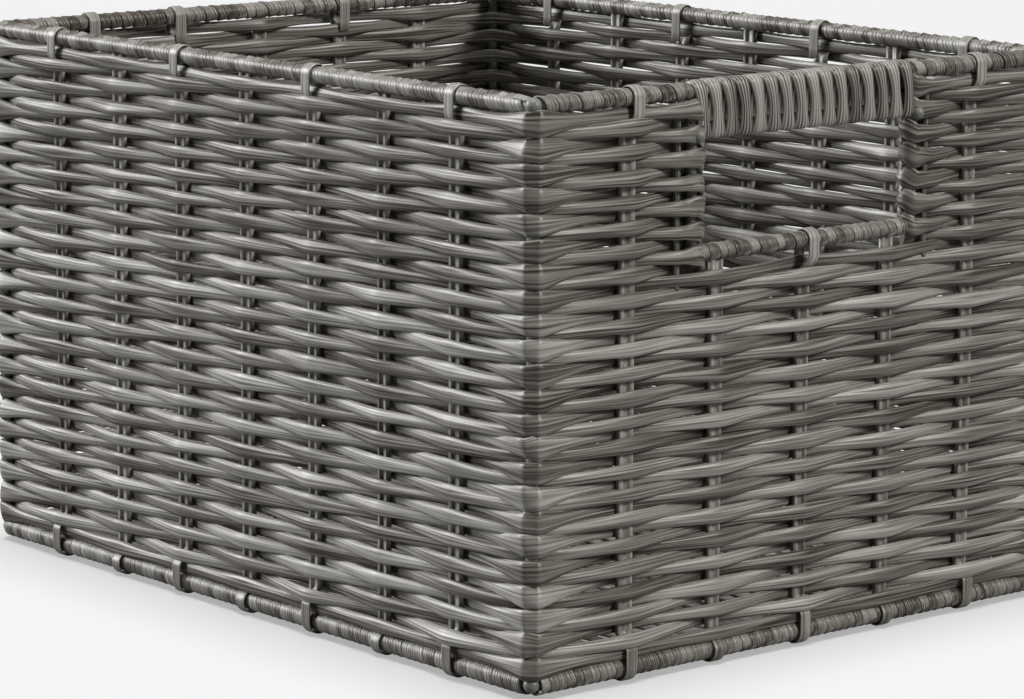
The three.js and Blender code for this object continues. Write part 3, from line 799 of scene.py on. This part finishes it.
def cord_route(top, hook_over, foot):
    """The cord in the upright plane square to its wall, as distances outwards and heights, from its top
    down: up the inner side of the bar, over it on a half circle and down its outer side, into the wall
    on half a cosine wave, down, out again to the outside of the bottom bar, and round it by three
    eighths of a turn."""
    low = bar_height + foot + cord_swerve
    if hook_over is None:
        high = top + cord_end_depth
        parts = []
    else:
        high = hook_over - cord_drop - cord_swerve
        tail = np.linspace(hook_over - hook_tail, hook_over, tail_steps)[:-1]
        angle = np.linspace(np.pi, 0, 2 * arc_steps)
        swerve = np.linspace(0, 1, arc_steps)[:-1]
        parts = [
            np.stack([0 * tail - cord_on_rim, tail], 1),
            np.stack([cord_on_rim * np.cos(angle), hook_over + cord_on_rim * np.sin(angle)], 1),
            np.stack([cord_on_rim * (1 + np.cos(np.pi * swerve)) / 2, high + cord_swerve * (1 - swerve)], 1),
        ]
    straight = np.linspace(high, low, straight_steps)
    swerve = np.linspace(0, 1, arc_steps)[1:]
    angle = np.linspace(0, -foot_turn_share * 2 * np.pi, arc_steps)
    parts += [
        np.stack([0 * straight, straight], 1),
        np.stack([cord_on_bottom * (1 - np.cos(np.pi * swerve)) / 2, low - cord_swerve * swerve], 1),
        np.stack([cord_on_bottom * np.cos(angle), bar_height + cord_on_bottom * np.sin(angle)], 1),
    ]
    return np.concatenate(parts)


def upright_cord(place, out, along, top, hook_over, hook_shift, foot):
    """A cord on its route. Over the bar at its top it lies a shift further along the wall. As it leaves the
    middle of the wall it is pressed flat, evenly up to a share of the distance at which it passes the rim,
    and it stays flat round both bars."""
    route = cord_route(top, hook_over, foot)
    ways = unit(np.gradient(route, axis=0))
    high = rim_height if hook_over is None else hook_over
    sideways = hook_shift * np.clip(1 - (high - cord_drop - route[:, 1:]) / cord_swerve, 0, 1)
    path = np.concatenate([place + route[:, :1] * out + sideways * along, route[:, 1:]], axis=1)
    normal = np.concatenate([-ways[:, 1:] * out, ways[:, :1]], axis=1)
    in_wall = np.clip(1 - np.abs(route[:, 0]) / (flat_by_share * cord_on_rim), 0, 1)
    in_wall *= (route[:, 1] > bar_height) & (route[:, 1] < high)
    width = hook_width + (chance.uniform(least_cord_width, most_cord_width) - hook_width) * in_wall
    thickness = hook_thickness + (cord_thickness - hook_thickness) * in_wall
    section = twin_section(cord_sides, hook_web_share + (web_share - hook_web_share) * in_wall)
    rings = strand_rings(path, normal, width, thickness, section)
    # In the wall the cord takes its painted-light tone, lighter than the strands'; flat round the bars it
    # takes the hook tone.
    return rings, False, hook_tone + (chance.uniform(*cord_painted_light_tones) - hook_tone) * in_wall


cane_cord = cane("cane_cord", streaks_round=14, streaks_along=30, rib_depth=0.00005, groove_shade_and_dirt=0)
for side, count in stake_counts.items():
    out, along = side_facts[side][:2]
    for number in range(1, count + 1):
        node = f"stake_{side}_{number}"
        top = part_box(node)[1].z
        over = rim_height if top > rim_height else None
        if lower_bar_height < top < grip_low:
            over = lower_bar_height
        shift = right_hook_shift if side == "right" else 0
        cord = upright_cord(stake_place(side, number), out, along, top, over, shift, cord_foot(number))
        strands_object(f"cord_{side}_{number}", [cord], cane_cord, [node])


def lone_cord(y):
    """A single round cord that stands straight beside a side bar of the hand-hold and is rooted in the
    rows below it."""
    low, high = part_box("woven_wall_right_front")
    root = low.z - lone_cord_root_rows * row_pitch
    path = np.linspace((half_length, y, root), (half_length, y, high.z), straight_steps)
    out = np.broadcast_to((1, 0, 0), path.shape)
    section = oval_section(lone_cord_sides)
    return strand_rings(path, out, cord_thickness, cord_thickness, section), False, lone_cord_tone


lone_place = side_bar_place + lone_cord_gap
lone_cords = [lone_cord(y) for y in (-lone_place, lone_place)]
strands_object("lone_cords", lone_cords, cane_cord, [])


# Wound strips
# A flat ribbed strip of the same cane is wound closely round the rim, the bottom bars and the lower bar
# of the hand-hold, each turn with its edge lapped a little over the one before.
strip_thickness = 0.0008
rim_pitch = 0.0050
bottom_pitch = 0.0036
lower_bar_pitch = 0.0040
pitch_wander = 0.14
turn_steps = 18
strip_overlap = 1.18
strip_tilt = math.radians(5.5)
strip_flatness = 0.2
strip_sides = 14
strip_tones = (0.12, 0.8)
strip_section = oval_section(strip_sides, strip_flatness)
slanting_way = (0.3, 0.4, 0.5)
wrap_reach = 0.0030
rim_wrap_radius = 0.0030
bottom_wrap_radius = 0.0037


def wound_strip(start, end, radius, pitch):
    """A helix from start to end: each turn advances by its own pitch, and the strip is a little wider than
    the pitch there. Its outer face lies at the given radius, and its end turns lie square to the bar. Its
    angle is counted from the side of the bar that is square to a slanting way."""
    start, end = np.array(start, float), np.array(end, float)
    length = np.linalg.norm(end - start)
    axis = (end - start) / length
    first_side = unit(np.cross(axis, slanting_way))
    second_side = np.cross(axis, first_side)
    turns = round(length / pitch)
    pitches = 1 + pitch_wander * chance.normal(size=turns)
    pitches = pitches / pitches.sum() * length
    reached = np.concatenate([[0], np.cumsum(pitches)])
    turned = np.linspace(0, turns, turns * turn_steps + 1)
    run = np.interp(turned, np.arange(turns + 1), reached)
    width = strip_overlap * np.interp(turned, np.arange(turns) + 0.5, pitches)
    angle = (2 * np.pi * turned)[:, None]
    radial = first_side * np.cos(angle) + second_side * np.sin(angle)
    run = np.clip(run, width / 2, length - width / 2)
    path = start + axis * run[:, None] + radial * (radius - strip_thickness / 2)
    rings = strand_rings(path, radial, width, strip_thickness, strip_section, strip_tilt)
    tones = chance.uniform(*strip_tones, turns + 1)
    return rings, False, tones[turned.astype(int)]


cane_strip = cane("cane_strip", streaks_round=40, streaks_along=60, rib_depth=0.00012, groove_shade_and_dirt=0.06)


def wrap_node(node, pitch, radius):
    """Winds strip along the longest side of a CAD sleeve's box, and a little past both its ends."""
    low, high = (np.array(corner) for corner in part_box(node))
    centre, reach = (low + high) / 2, (high - low) / 2
    along = np.zeros(3)
    along[np.argmax(reach)] = reach.max() + wrap_reach
    strip = wound_strip(centre - along, centre + along, radius, pitch)
    strands_object(f"strip_{node}", [strip], cane_strip, [node])


for part in ("front", "back", "left", "right_front", "right_back"):
    wrap_node(f"rim_wrap_{part}", rim_pitch, rim_wrap_radius)
for side in side_facts:
    wrap_node(f"bottom_wrap_{side}", bottom_pitch, bottom_wrap_radius)
wrap_node("handle_wrap", lower_bar_pitch, rim_wrap_radius)


# Grip
# One heavier ribbed strand is wound round the rim wire and the wire below it, in tall open loops that
# bow outwards.
grip_loops = 16
grip_strand_width = 0.0064
grip_waist = 0.6
grip_waist_power = 1.5
grip_strand_thickness = 0.0018
grip_bow = 0.0006
grip_squareness = 0.4
loop_steps = 36
grip_sides = 18
grip_flatness = 0.6
grip_tones = (0.5, 1.0)
grip_section = oval_section(grip_sides, grip_flatness)


def grip_strand():
    """Loops on a rounded oval: the height is a cosine, and the depth a sine to the power squareness,
    with the outer side bowed further out. Each loop advances by an equal share of the grip, and its outer
    side narrows to a waist on a power of the height's cosine."""
    half_height = (grip_top - grip_low - grip_strand_thickness) / 2
    angle = np.linspace(0, 2 * np.pi * grip_loops, grip_loops * loop_steps + 1)
    depth = np.sign(np.sin(angle)) * np.abs(np.sin(angle)) ** grip_squareness
    depth = depth * (grip_outer - grip_strand_thickness / 2 + grip_bow * (depth > 0) * np.abs(depth))
    height = (grip_top + grip_low) / 2 + half_height * np.cos(angle)
    path = np.stack([half_length + depth, side_bar_place * (2 * angle / angle[-1] - 1), height], 1)
    out = np.stack([np.sin(angle) * half_height / grip_outer, 0 * angle, np.cos(angle)], 1)
    level = np.where(depth > 0, np.abs(np.cos(angle)) ** grip_waist_power, 1)
    width = grip_strand_width * (grip_waist + (1 - grip_waist) * level)
    tones = chance.uniform(*grip_tones, grip_loops + 1)[(angle / (2 * np.pi)).astype(int)]
    return strand_rings(path, out, width, grip_strand_thickness, grip_section), False, tones


cane_grip = cane("cane_grip", streaks_round=24, streaks_along=22, rib_depth=0.00018, groove_shade_and_dirt=0.16)
strands_object("grip", [grip_strand()], cane_grip, ["grip_winding"])


# Base
# Rows of the walls' strand run the length of the basket, over and under five twin cords that cross it.
# Both end at the foot of the walls, beside the bottom bars.
base_amplitude = 0.0015
base_strand_thickness = 0.0019
base_cord_thickness = 0.0016
base_end_share = 0.3
base_steps = 10
base_cords = 5
base_cord_tone = 0.4


def base_rows():
    """Strands side by side. Each is a smooth path that rises over one cord and dips under the next, and
    the strand beside it does the reverse."""
    low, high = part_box("woven_base")
    rows = int((high.y - low.y) / row_pitch)
    xs = [low.x, *(middle(f"base_cord_{number + 1}")[0] for number in range(base_cords)), high.x]
    leads = [crest_lead] * len(xs)
    headings = np.tile([1.0, 0.0, 0.0], (len(xs), 1))
    crest = crest_share(len(xs), base_steps, False)
    strands = []
    for row in range(rows):
        y = -rows * row_pitch / 2 + (row + 0.5) * row_pitch
        signs = [1 if (row + number) % 2 == 0 else -1 for number in range(base_cords)]
        lifts = [-signs[0] * base_end_share, *signs, -signs[-1] * base_end_share]
        places = np.array([[x, y, bar_height + lift * base_amplitude] for x, lift in zip(xs, lifts)])
        path = through(places, headings, leads, leads, base_steps, False)
        width = crossing_width + (crest_width - crossing_width) * crest
        width = width * (1 + width_wander * chance.normal())
        out = np.broadcast_to((0, 0, 1), path.shape)
        rings = strand_rings(path, out, width, base_strand_thickness, cane_section)
        strands.append((rings, False, chance.uniform(*strand_tones)))
    return strands


strands_object("base_rows", base_rows(), cane_strand, ["woven_base"])
for number in range(1, base_cords + 1):
    node = f"base_cord_{number}"
    x = middle(node)[0]
    reach = span(node)[1] / 2
    path = np.linspace((x, -reach, bar_height), (x, reach, bar_height), straight_steps)
    out = np.broadcast_to((0, 0, 1), path.shape)
    section = twin_section(cord_sides, web_share)
    rings = strand_rings(path, out, least_cord_width, base_cord_thickness, section)
    cord = (rings, False, base_cord_tone)
    strands_object(f"crossing_cord_{number}", [cord], cane_cord, [node])
